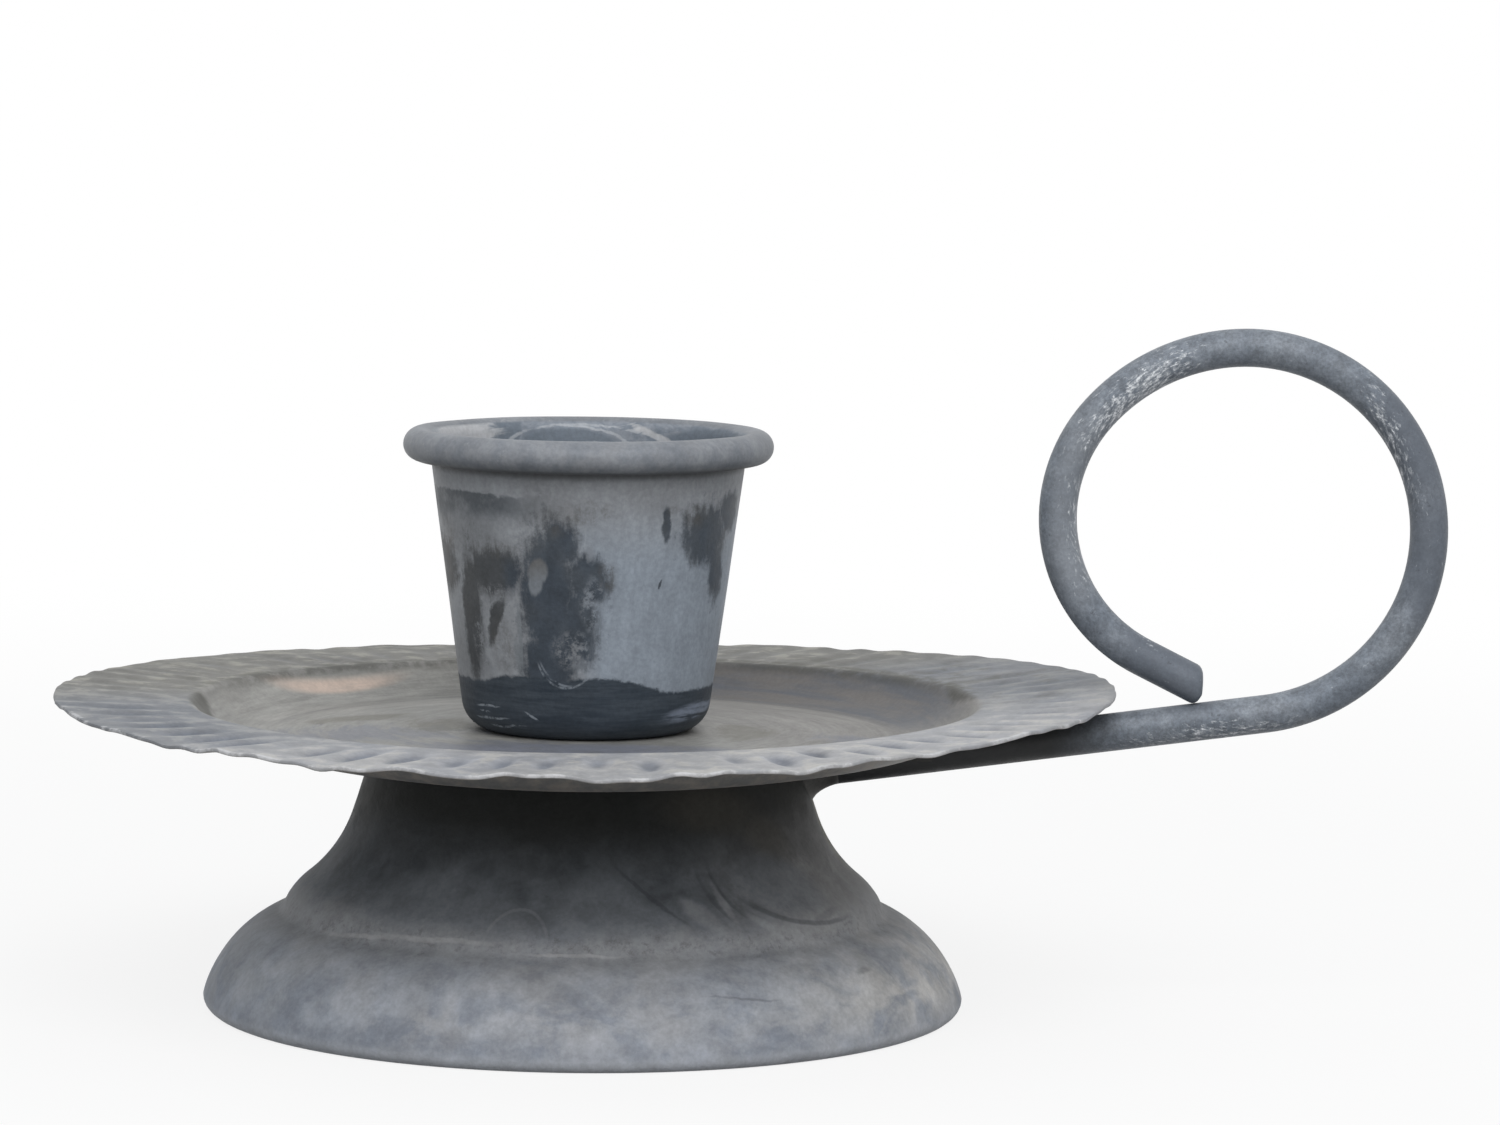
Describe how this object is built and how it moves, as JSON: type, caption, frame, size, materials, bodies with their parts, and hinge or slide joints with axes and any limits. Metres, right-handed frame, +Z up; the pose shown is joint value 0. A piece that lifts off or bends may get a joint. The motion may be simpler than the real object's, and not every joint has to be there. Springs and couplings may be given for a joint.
{
  "type": "chamberstick",
  "caption": "Low candle holder in aged zinc: tapered candle cup with a curled rim, fluted drip dish, hollow domed foot, and a round rod handle bent into a finger loop.",
  "frame": {"origin": "on the table plane, under the middle of the round foot", "axes": "+Z up along the axis of cup, dish and foot; +X from the axis towards the finger loop; +Y to the back as pictured"},
  "size_m": [0.1459, 0.1114, 0.0724],
  "materials": {
    "foot_zinc": "aged zinc, cloudy, soft sheen",
    "dish_zinc": "aged zinc, faint turning marks, worn bright at the edge",
    "cup_zinc": "aged zinc, bluish, dark slate stains",
    "rod_zinc": "aged zinc rod, mottled with pale flecks",
    "solder": "dull soft solder",
    "steel_fixing": "dull plated steel"
  },
  "bodies": {
    "root": {"pedestal_foot": "foot_zinc", "drip_dish": "dish_zinc", "candle_cup": "cup_zinc", "finger_loop": "rod_zinc", "neck_solder": "solder", "dish_solder": "solder", "centre_screw": "steel_fixing", "foot_washer": "steel_fixing", "hex_nut": "steel_fixing"}
  },
  "joints": []
}
